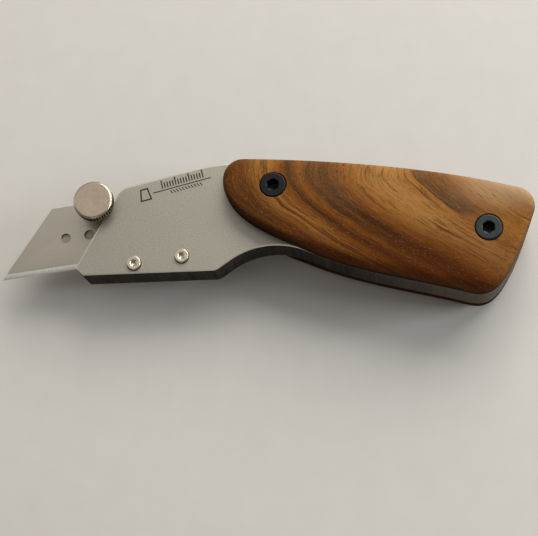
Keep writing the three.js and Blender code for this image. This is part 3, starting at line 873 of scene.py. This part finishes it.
# Painted shade, one share for each ring: on the rounding's outer rings, then down the wall to the
# steel. Then how strongly the face is painted darker along the front lower side, and over how many
# millimetres that fades in from the edge.
EDGE_SHADE_RINGS = (0.55, 0.45, 0.3, 0.15, 0.05, 0.9, 1, 1, 1)
LOWER_FRONT_SHADE = 0.42
LOWER_SHADE_REACH = 4


def scale_line():
    """Outline of a scale: the plates' line behind the hollow, and a long curve up its front."""
    x, y = choil_line()[-1]
    corner_y = TOP_Y - HANDLE_CORNER
    pull = (HANDLE_FRONT, corner_y - 0.52 * (corner_y - y))
    line = handle_line()
    line += arc((HANDLE_FRONT + HANDLE_CORNER, corner_y), HANDLE_CORNER, math.pi / 2, math.pi, 24)
    return tidy_loop(line + bend((HANDLE_FRONT, corner_y), pull, (x - 11.2, y + 5.5), (x, y), 50))


def distance_inside(points, loop):
    """How far each point is from the nearest stretch of the loop."""
    p = np.array(points)[:, None, :]
    a = np.array(loop)[None, :, :]
    b = np.roll(np.array(loop), -1, 0)[None, :, :]
    run = b - a
    share = np.clip(((p - a) * run).sum(2) / (run ** 2).sum(2), 0, 1)
    return np.sqrt(((a + share[:, :, None] * run - p) ** 2).sum(2)).min(1)


def lower_front(x, y):
    """1 along the scale's front lower side, where it is left fuller and crisper, 0 elsewhere."""
    ahead, under = (CRISP_BACK[0] - x) / CRISP_BACK[1], (CRISP_TOP[0] - y) / CRISP_TOP[1]
    return np.clip(ahead, 0, 1) * np.clip(under, 0, 1)


def scale_height(points, loop, thickness):
    """Height of the scale's face above the plate at each point."""
    crisp = np.array([lower_front(x, y) for x, y in points])
    inside = distance_inside(points, loop)
    r = ROUND_OVER - CRISP_ROUND * crisp
    short = 1 - np.minimum(1, inside / r)
    dome = (1 - np.minimum(1, inside / CROWN_REACH)) ** 2
    fall = CROWN * (1 - CRISP_CROWN * crisp) * dome
    return thickness - fall - r * (1 - np.sqrt(1 - short * short))


def within(points, loop):
    """Which points lie inside the loop."""
    x, y = np.array(points).T[:, :, None]
    x1, y1 = np.array(loop).T[:, None, :]
    x2, y2 = np.roll(np.array(loop), -1, 0).T[:, None, :]
    with np.errstate(divide="ignore", invalid="ignore"):
        crosses = ((y1 > y) != (y2 > y)) & (x < x1 + (y - y1) / (y2 - y1) * (x2 - x1))
    return crosses.sum(1) % 2 == 1


def face_net(inner):
    """Places for the crowned face, in staggered rows, clear of the rounding and the pockets."""
    lowest, highest = inner.min(0), inner.max(0)
    columns = np.arange(lowest[0], highest[0], NET_STEP)
    rows = np.arange(lowest[1], highest[1], NET_STEP)
    net = np.array([(x + k % 2 * NET_STEP / 2, y) for k, y in enumerate(rows) for x in columns])
    net = net[within(net, inner)]
    clear = distance_inside(net, inner) > NET_FROM_EDGE
    for x, y in HANDLE_AXES.values():
        clear &= np.hypot(net[:, 0] - x, net[:, 1] - y) > POCKET + NET_FROM_POCKET
    return net[clear]


def face_triangles(places, count, inner):
    """Triangles between the innermost ring of count places, the two pockets' rings and the net."""
    flat = [Vector(place) for place in places]
    edges, start = [], 0
    for size in (count, BORE_STEPS, BORE_STEPS):
        edges += [(start + i, start + (i + 1) % size) for i in range(size)]
        start += size
    _, _, triangles, original, _, _ = geometry.delaunay_2d_cdt(flat, edges, [], 0, 1e-7)
    kept = []
    for triangle in triangles:
        corners = [original[i][0] for i in triangle]
        # Which loop each corner is on: 0 the outline, 1 and 2 the pockets, 3 and over the net.
        loops = {0 if i < count else 1 + (i - count) // BORE_STEPS for i in corners}
        middle = sum((flat[i] for i in corners), Vector((0, 0))) / 3
        outside = loops == {0} and not within([tuple(middle)], inner)[0]
        if loops not in ({1}, {2}) and not outside:
            kept.append(corners)
    return kept


def make_scale(name, base, face, bore, head_height):
    """One scale. base and face are the heights of its flat back and its face, bore is its holes'
    radius and head_height that of the heads in its pockets."""
    outline = np.array(scale_line())
    thickness, outward = abs(face - base), 1 if face > base else -1
    floor = thickness - HEAD_SUNK - head_height - WASHER_THICKNESS
    count = len(outline)
    plan, verts, faces = [], [], []

    def draw(line):
        """Adds places to the plan of the face, and gives their numbers."""
        plan.extend(tuple(p) for p in line)
        return list(range(len(plan) - len(line), len(plan)))

    def raise_ring(line, lift):
        """Adds a ring of points at their heights over the plate, and gives their numbers."""
        lift = np.broadcast_to(lift, len(line))
        verts.extend(bench(x, y, base + outward * h) for (x, y), h in zip(line, lift))
        return list(range(len(verts) - len(line), len(verts)))

    rings = [draw(inset(outline, d)) for d in ROUNDING]
    inner = np.array([plan[i] for i in rings[-1]])
    axes = HANDLE_AXES.values()
    mouths = [[draw(circle(a, POCKET + lip, BORE_STEPS)) for lip in POCKET_MOUTH] for a in axes]
    used = rings[-1] + mouths[0][0] + mouths[1][0] + draw(face_net(inner))
    for corners in face_triangles([plan[i] for i in used], count, inner):
        faces.append(tuple(used[i] for i in corners))
    stitch(faces, rings)
    heights = scale_height(plan, outline, thickness)
    raise_ring(plan, heights)
    # The straight wall down to a fine broken edge on the steel, and the flat back.
    wall = [rings[0], raise_ring(outline, heights[:count] - 0.25)]
    wall += [raise_ring(inset(outline, d), h) for h, d in ((0.12, 0), (0, 0.08), (0, 0.4))]
    stitch(faces, wall)
    back = [wall[-1]]
    # The bores: face ring, rounded mouth, pocket wall, pocket floor, bore, back face.
    for axis, (face_ring, mouth) in zip(axes, mouths):
        edge = raise_ring(circle(axis, POCKET, BORE_STEPS), heights[mouth] - MOUTH_DROP)
        steps = [(POCKET, floor + 0.05), (POCKET - 0.05, floor), (bore, floor)]
        steps += [(bore, 0.1), (bore + 0.1, 0), (bore + 0.4, 0)]
        bored = [raise_ring(circle(axis, r, BORE_STEPS), h) for r, h in steps]
        stitch(faces, [face_ring, mouth, edge] + bored)
        back.append(bored[-1])
    fill(verts, faces, back)
    # Painted shade: darker on the rounding's outer rings and down the wall, and along the front
    # lower side on the face near the edge.
    handled = np.zeros(len(verts))
    for ring, dark in zip(rings[:5] + wall[1:], EDGE_SHADE_RINGS):
        handled[ring] = dark
    for i, (place, d) in enumerate(zip(plan, distance_inside(plan, outline))):
        lower = LOWER_FRONT_SHADE * lower_front(*place) * math.exp(-d / LOWER_SHADE_REACH)
        handled[i] = max(handled[i], lower)
    return mesh_piece(name, verts, faces, handled=handled)


# Walnut tones. Some also stand for light and shade. Gold, besides being a band's wood, paints the
# sheen on the top. The pale tone after plum is a painted sheen for the back upper corner. The deep
# red one is painted shade low down, and the last, near-black, is painted shade on the walls and
# rounded edges.
WALNUT = {
    "gold": (0.40, 0.195, 0.054), "honey": (0.31, 0.128, 0.024), "amber": (0.205, 0.067, 0.008),
    "brown": (0.108, 0.031, 0.004), "dark": (0.028, 0.009, 0.003), "plum": (0.070, 0.031, 0.014),
    "corner_sheen": (0.50, 0.36, 0.215), "red": (0.080, 0.016, 0.0015), "pore": (0.030, 0.012, 0.005),
    "pale_speck": (0.46, 0.30, 0.18), "shade_dark": (0.020, 0.007, 0.002),
}
# Where each growth band starts, in millimetres across the board, and its wood.
BANDS = [
    (55, "dark"), (60, "dark"), (65, "brown"), (69, "brown"), (73.4, "honey"), (74.1, "brown"),
    (75.5, "honey"), (78.5, "amber"), (80.2, "brown"), (81.2, "dark"), (82.4, "brown"),
    (84.5, "amber"), (86.4, "brown"), (87.6, "dark"), (89.2, "brown"), (90.2, "dark"),
    (91.6, "dark"), (93.2, "brown"), (96, "amber"), (100, "honey"), (107, "gold"),
    (114.9, "honey"), (115.1, "plum"), (117.6, "plum"), (120, "brown"), (124, "amber"),
    (128, "honey"), (134, "amber"), (139, "honey"), (146, "amber"), (155, "brown"),
]
# The line that each band follows: how far it has moved back (second) at a height y (first).
GRAIN_LINE = [
    (-16, 52), (-8, 39.5), (0, 27), (5, 19.5), (10, 12.6), (14.3, 7.1), (16.8, 4.6), (20.1, 1.7),
    (22.2, 0.5), (25, 0.05), (34, 0),
]


def oiled_walnut(name, face_z, shift):
    """Oiled walnut, sawn so that its growth bands run down the grain and turn up in arches near the
    top edge. The bands are the levels of one smooth field over the board, so streaks, fibres and
    pores all follow the same lines. Light and shade are painted in: a sheen makes the top and the
    back upper corner paler, the lower part is painted darker and redder, and the walls and rounded
    edges are painted dark."""
    board = Finish(name)

    def times(first, second):
        return board.sums("MULTIPLY", first, second)

    def millimetres(letter, start):
        return board.sums("MULTIPLY_ADD", board.axis(board.place, letter), 1 / MM, start)

    def noise(place, scale, detail=4, rough=0.55):
        return board.noise(place, scale, detail, rough)

    def fade(value, low, high, start=0, end=1):
        return board.span(value, low, high, start, end, smooth=True)

    x = millimetres("X", shift - POINT_X / MM)
    up = millimetres("Y", -EDGE_Y / MM)
    depth = board.sums("ABSOLUTE", millimetres("Z", -face_z))
    y = board.sums("MULTIPLY_ADD", depth, -0.45, up)
    slow = noise(board.vector(times(x, 0.5), y, depth), 0.11, 2)
    bottom, tall, wide = GRAIN_LINE[0][0], GRAIN_LINE[-1][0] - GRAIN_LINE[0][0], GRAIN_LINE[0][1]
    folded = board.add("FloatCurve", {"Value": board.span(y, bottom, bottom + tall)})
    line = folded.node.mapping.curves[0].points
    while len(line) < len(GRAIN_LINE):
        line.new(0.5, 0.5)
    for point, (height, back) in zip(line, GRAIN_LINE):
        point.location = ((height - bottom) / tall, back / wide)
    folded.node.mapping.update()
    across = board.sums("MULTIPLY_ADD", folded, -wide, x)
    across = board.sums("MULTIPLY_ADD", slow, 3.2, board.sums("SUBTRACT", across, 1.6))
    grain = board.vector(across, times(y, 0.07), times(depth, 0.3))

    # The growth bands, the pale arches low down and the dark knot in the upper part.
    wander = noise(grain, 0.9, 4, 0.6)
    banded = board.sums("MULTIPLY_ADD", wander, 1.6, board.sums("SUBTRACT", across, 0.8))
    first, last = BANDS[0][0], BANDS[-1][0]
    stops = [((start - first) / (last - first), WALNUT[wood]) for start, wood in BANDS]
    colour = board.ramp(board.span(banded, first, last), stops)
    arch = times(times(fade(banded, 113.5, 115.5), fade(banded, 128, 123)), fade(up, 13, 8))
    knot = times(fade(banded, 85, 87.5), fade(banded, 96, 92.5))
    knot = times(knot, times(fade(up, 25, 21), fade(up, 12, 15)))
    # Streaks and fibres along the grain; then a painted sheen on the top and the back upper corner,
    # painted shade low down, open pores, pale specks, and painted shade on the walls and rounded
    # edges.
    streaks, fibres = noise(grain, 1.3, 6, 0.65), noise(grain, 6, 5, 0.8)
    # Painted sheen: the dark fibres are painted fainter towards the top, and the top is painted
    # paler and golden, most towards the back, for the light it catches.
    dark_fibres = times(fade(fibres, 0.36, 0.54, 0.75, 0), fade(up, 31, 22, 0.35, 1))
    top_sheen = times(fade(up, 12, 30, 0, 0.28), fade(x, 72, 104, 0.2, 1))
    # Painted sheen: the back upper corner is painted paler still.
    corner_sheen = times(fade(x, 119, 142, 0, 0.62), fade(up, 9, 20))
    # Painted shade: darker and redder low down, most towards the front.
    low_shade = times(fade(up, 13, -4, 0, 0.8), fade(x, 136, 108, 0.62, 1))
    pores = noise(board.vector(times(across, 3.4), times(y, 0.55), depth), 1.0, 2, 0.5)
    open_pore = fade(pores, 0.62, 0.70)
    # Pale tan specks along the grain.
    pale_speck = noise(board.vector(times(across, 5.0), times(y, 2.2), depth), 1.0, 1, 0.5)
    # Painted shade on the walls and rounded edges, which are also made rougher.
    handled = board.layer("handled")
    for share, wood in (
        (arch, "honey"), (times(knot, 0.6), "plum"),
        (fade(streaks, 0.50, 0.34, 0, 0.88), "dark"), (fade(streaks, 0.54, 0.70, 0, 0.5), "honey"),
        (dark_fibres, "brown"), (fade(fibres, 0.52, 0.68, 0, 0.42), "gold"),
        (top_sheen, "gold"), (corner_sheen, "corner_sheen"), (low_shade, "red"), (times(open_pore, 0.6), "pore"),
        (fade(pale_speck, 0.66, 0.76, 0, 0.45), "pale_speck"), (times(handled, 0.92), "shade_dark"),
    ):
        colour = board.blend(share, colour, WALNUT[wood])
    board.give("Base Color", colour)
    satin = fade(fibres, 0.2, 0.8, 0.44, 0.58)
    board.give("Roughness", board.sums("MULTIPLY_ADD", handled, 0.35, satin))
    board.give("Specular IOR Level", 0.06)
    relief = board.sums("MULTIPLY_ADD", open_pore, -0.7, times(fibres, 0.6))
    board.bump(relief, strength=0.5, distance=0.00009)
    return board


base, face = levels("front_scale")
front_scale = make_scale("front_walnut_scale", base, face, SHANK_HOLE, SCREW_HEAD_HEIGHT)
dress(front_scale, oiled_walnut("oiled_walnut_front", face, 0))
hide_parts("front_scale")
# The back scale is cut from the same board, a little further along.
face, base = levels("back_scale")
back_scale = make_scale("back_walnut_scale", base, face, SLEEVE_HOLE, NUT_HEAD_HEIGHT)
dress(back_scale, oiled_walnut("oiled_walnut_back", face, -13))
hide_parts("back_scale")


# --- Sleeve nuts and washers --------------------
# From the back, a sleeve nut with a flat head takes each handle screw's thread. A washer under
# every head spreads its pull over the wood. All are carbon steel, blackened.

# Painted light: the rear set is painted a lighter slate grey for the light it catches; the front
# set is near-black.
BLACKENED = {"front": (0.016, 0.018, 0.018), "rear": (0.036, 0.046, 0.047)}
# Painted shade: the sockets are painted near-black for the shade inside them.
BLACK_SOCKET_SHADE = (0.002, 0.002, 0.002)
HEAD_RADIUS = 3.5
HANDLE_HEX = 3
SLEEVE_RADIUS = 2.8
SLEEVE_THREAD = 2.1
THREAD_START = 4.4


def black_oxide(name, centre, end):
    """Blackened steel: near-black and satin, with a trace of brown and fine turning rings. The rear
    set's colour is painted a lighter slate grey for the light it catches."""
    steel = turned_steel(name, BLACKENED[end], 0.38, 1500, centre, BLACK_SOCKET_SHADE)
    steel.give("Metallic", 0.7)
    steel.give("Specular IOR Level", 0.3)
    return steel


def sleeve_nut(name, centre, bottom, top):
    """A round flat head with its socket below, and the threaded sleeve that rises from it."""
    half = HANDLE_HEX / 2
    rim = HEAD_RADIUS
    shoulder, height = NUT_HEAD_HEIGHT, top - bottom
    stations = [(0, 1.55, "deep"), (0.55 * half, 1.35, "deep"), (half - 0.05, 1.3, "hex", "deep")]
    stations += [(half, 1.22, "hex", "deep"), (half, 0.2, "hex", "deep")]
    stations += [(half + 0.02, 0.14, "hex"), (half + 0.3, 0), (half + 0.42, 0)]
    stations += [(rim - 0.5, 0), (rim - 0.38, 0), (rim - 0.2, 0.05), (rim - 0.05, 0.2)]
    stations += [(rim, 0.4), (rim, 0.55), (rim, shoulder - 0.1), (rim - 0.1, shoulder)]
    stations += [(SLEEVE_RADIUS, shoulder), (SLEEVE_RADIUS, height - 0.2)]
    stations += [(SLEEVE_RADIUS - 0.2, height), (SLEEVE_THREAD, height)]
    stations += [(SLEEVE_THREAD, THREAD_START), (0, THREAD_START)]
    return turned_piece(name, centre, [(r, bottom + z, *marks) for r, z, *marks in stations])


def make_washer(node, centre, radius, bore, edge):
    """A flat ring with broken edges."""
    bottom, top = levels(node)
    bores = [through_bore(centre, bore, bottom, top, 0.06)]
    return cut_plate(f"{node}_ring", circle(centre, radius, 64), bores, bottom, top, edge)


for end, axis in HANDLE_AXES.items():
    finish = black_oxide(f"black_oxide_{end}", axis, end)
    node = f"sleeve_nut_{end}"
    nut = sleeve_nut(f"{node}_turned", axis, *levels(node))
    dress(nut, finish)
    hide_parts(node)
    for kind, bore in (("screw_washer", SHANK_HOLE), ("nut_washer", SLEEVE_HOLE)):
        node = f"{kind}_{end}"
        washer = make_washer(node, axis, HEAD_RADIUS, bore, edge=0.08)
        dress(washer, finish)
        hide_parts(node)


# --- Handle screws ------------------------------
# Two M4 blackened cap screws with a 3 mm hexagon, sunk level with the face of the front scale.

HANDLE_THREAD_RADIUS = 2
HANDLE_HEX_DEPTH = 2

for end, axis in HANDLE_AXES.items():
    node = f"handle_screw_{end}"
    tip, top = levels(node)
    screw = cap_screw(
        f"handle_cap_screw_{end}", axis, HANDLE_THREAD_RADIUS, HEAD_RADIUS, SCREW_HEAD_HEIGHT,
        top, tip, HANDLE_HEX, HANDLE_HEX_DEPTH,
    )
    dress(screw, black_oxide(f"black_oxide_head_{end}", axis, end))
    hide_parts(node)


# --- Clamp washer and thumb screw ---------------
# A plain steel washer lies on the blade. The thumb screw is turned from bar: a straight-knurled
# head with chamfered rims over a plain collar and an M3 thread that passes the blade's notch.

THUMB_TONE = (0.58, 0.48, 0.375)
# Painted shade: the knurl's gaps are painted near-black for the shade in them.
THUMB_GAP_SHADE = (0.012, 0.011, 0.009)
CLAMP_RADIUS = 3.4
TEETH = 44
TOOTH_STEPS = 8
TOOTH_DEPTH = 0.36
KNOB_RADIUS = 5.55
KNOB_RIM = 0.44
KNOB_CLEARANCE = 0.6
COLLAR_RADIUS = 3.2
SHANK_RADIUS = 1.5
THREAD_PITCH = 0.5
THREAD_DEPTH = 0.2


def thumb_screw_mesh():
    """The whole screw as rings of one count, so the knurl can fade out at both chamfers. A
    station is a radius, a height and how deep the knurl is cut there, from 0 to 1."""
    tip, top = levels("thumb_screw")
    head = levels("front_plate")[1] + KNOB_CLEARANCE
    seat = levels("clamp_washer")[1]
    shank, collar, knob, rim = SHANK_RADIUS, COLLAR_RADIUS, KNOB_RADIUS, KNOB_RIM
    stations = [(0, tip, 0), (1.1, tip, 0), (shank, tip + 0.4, 0)]
    z = tip + 0.6
    while z < seat - 0.8:
        stations += [(shank, z, 0), (shank - THREAD_DEPTH, z + THREAD_PITCH / 2, 0)]
        z += THREAD_PITCH
    stations += [(shank, seat - 0.5, 0), (shank, seat - 0.1, 0), (shank + 0.1, seat, 0)]
    stations += [(collar - 0.15, seat, 0), (collar, seat + 0.15, 0), (collar, seat + 0.3, 0)]
    stations += [(collar, head - 0.12, 0), (collar + 0.12, head, 0), (collar + 0.3, head, 0)]
    stations += [(knob - rim - 0.1, head, 0), (knob - rim, head + 0.02, 0)]
    stations += [(knob - 0.2, head + rim * 0.5, 0.3), (knob - 0.07, head + rim * 0.8, 0.8)]
    stations += [(knob, head + rim, 1), (knob, head + rim + 0.15, 1)]
    # The upper rim: how far in from the knob's side, how far under its top, and the knurl there.
    for inwards, under, knurl in (
        (0, 0.55, 1), (0, 0.42, 1), (0.04, 0.34, 0.6), (0.10, 0.29, 0.1), (0.15, 0.255, 0),
        (0.48, 0.045, 0), (0.54, 0.015, 0), (0.62, 0, 0), (0.85, 0, 0),
    ):
        stations.append((knob - inwards, top - under, knurl))
    stations += [(0.35, top, 0), (0.2, top - 0.012, 0), (0, top - 0.02, 0)]
    # The gaps between the teeth take a share of painted shade, a little more than the depth of the
    # cut there.
    phase = np.arange(TEETH * TOOTH_STEPS) % TOOTH_STEPS / TOOTH_STEPS
    gap = 1 - np.clip(2.3 * np.abs(2 * phase - 1) - 0.95, 0, 1)
    rings = []
    for r, z, knurl in stations:
        reach = r - knurl * TOOTH_DEPTH * gap if r else [0]
        rings.append((reach, z, min(1, 1.3 * knurl) * gap if r else [0]))
    return spin("knurled_thumb_screw", THUMB_AXIS, rings)


thumb_steel = turned_steel("turned_thumb_steel", THUMB_TONE, 0.34, 2400, THUMB_AXIS, THUMB_GAP_SHADE)
clamp_washer = make_washer("clamp_washer", THUMB_AXIS, CLAMP_RADIUS, THUMB_HOLE, edge=0.12)
dress(clamp_washer, thumb_steel, "clamp")
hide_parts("clamp_washer")
thumb_screw = thumb_screw_mesh()
dress(thumb_screw, thumb_steel, "thumb_screw")
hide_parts("thumb_screw")


# --- Bench and lights ---------------------------
# A plain pale sweep under the knife in an even, dim room. The main lamp is a broad soft window
# behind and to the right. A wide one overhead and narrow ones to the right, to the left and in
# front fill it in.

SWEEP = 1.5
PAPER_TONES = ((0.62, 0.60, 0.57), (0.66, 0.64, 0.61))
LAMP_SHAPE = 0.7
# Each lamp's name, its place and width in metres, its power in watts and its tint.
LAMPS = [
    ("window", (0.38, 0.70, 0.58), 0.95, 10.5, (1.0, 0.96, 0.89)),
    ("overhead", (-0.14, 0.36, 0.92), 1.3, 1.5, (1.0, 0.97, 0.92)),
    ("right_strip", (0.95, 0.00, 0.36), 0.36, 5.0, (0.90, 0.96, 1.0)),
    ("left_strip", (-0.90, 0.35, 0.35), 0.36, 0.7, (1.0, 0.96, 0.86)),
    ("front_strip", (-0.1, -0.95, 0.34), 0.30, 0.6, (1.0, 0.96, 0.86)),
]

sheet = [(-SWEEP, -SWEEP, 0), (SWEEP, -SWEEP, 0), (SWEEP, SWEEP, 0), (-SWEEP, SWEEP, 0)]
mesh = bpy.data.meshes.new("bench_top")
mesh.from_pydata(sheet, [], [(0, 1, 2, 3)])
bench_top = bpy.data.objects.new("bench_top", mesh)
bpy.context.scene.collection.objects.link(bench_top)
paper = Finish("pale_paper")
mottle = paper.add("TexNoise", {"Scale": 400}, "Fac")
paper.give("Base Color", paper.ramp(mottle, list(zip((0, 1), PAPER_TONES))))
paper.give("Roughness", 0.9)
mesh.materials.append(paper.material)

for name, place, width, power, tint in LAMPS:
    lamp = bpy.data.lights.new(name, "AREA")
    lamp.shape = "RECTANGLE"
    lamp.size = width
    lamp.size_y = width * LAMP_SHAPE
    lamp.energy = power
    lamp.color = tint
    stand = bpy.data.objects.new(name, lamp)
    stand.location = place
    stand.rotation_euler = (-Vector(place)).to_track_quat("-Z", "Y").to_euler()
    bpy.context.scene.collection.objects.link(stand)

room = bpy.data.worlds.new("room")
room.use_nodes = True
room.node_tree.nodes["Background"].inputs["Color"].default_value = (1.0, 0.97, 0.92, 1)
room.node_tree.nodes["Background"].inputs["Strength"].default_value = 0.15
bpy.context.scene.world = room
bpy.context.scene.view_settings.view_transform = "Standard"


# --- Camera -------------------------------------
# Held over the bench 0.31 m away, tilted 18.5 degrees from straight down, turned a little.

CAMERA_PLACE = (0.03357, -0.10302, 0.30582)
CAMERA_TURN = (17.468, 6.299, -0.346)
SENSOR_WIDTH = 36
FOCAL_LENGTH = 76.1

camera_data = bpy.data.cameras.new("camera")
camera_data.sensor_width = SENSOR_WIDTH
camera_data.lens = FOCAL_LENGTH
camera_data.clip_start = 0.01
camera = bpy.data.objects.new("camera", camera_data)
camera.location = CAMERA_PLACE
camera.rotation_euler = [math.radians(a) for a in CAMERA_TURN]
bpy.context.scene.collection.objects.link(camera)
bpy.context.scene.camera = camera
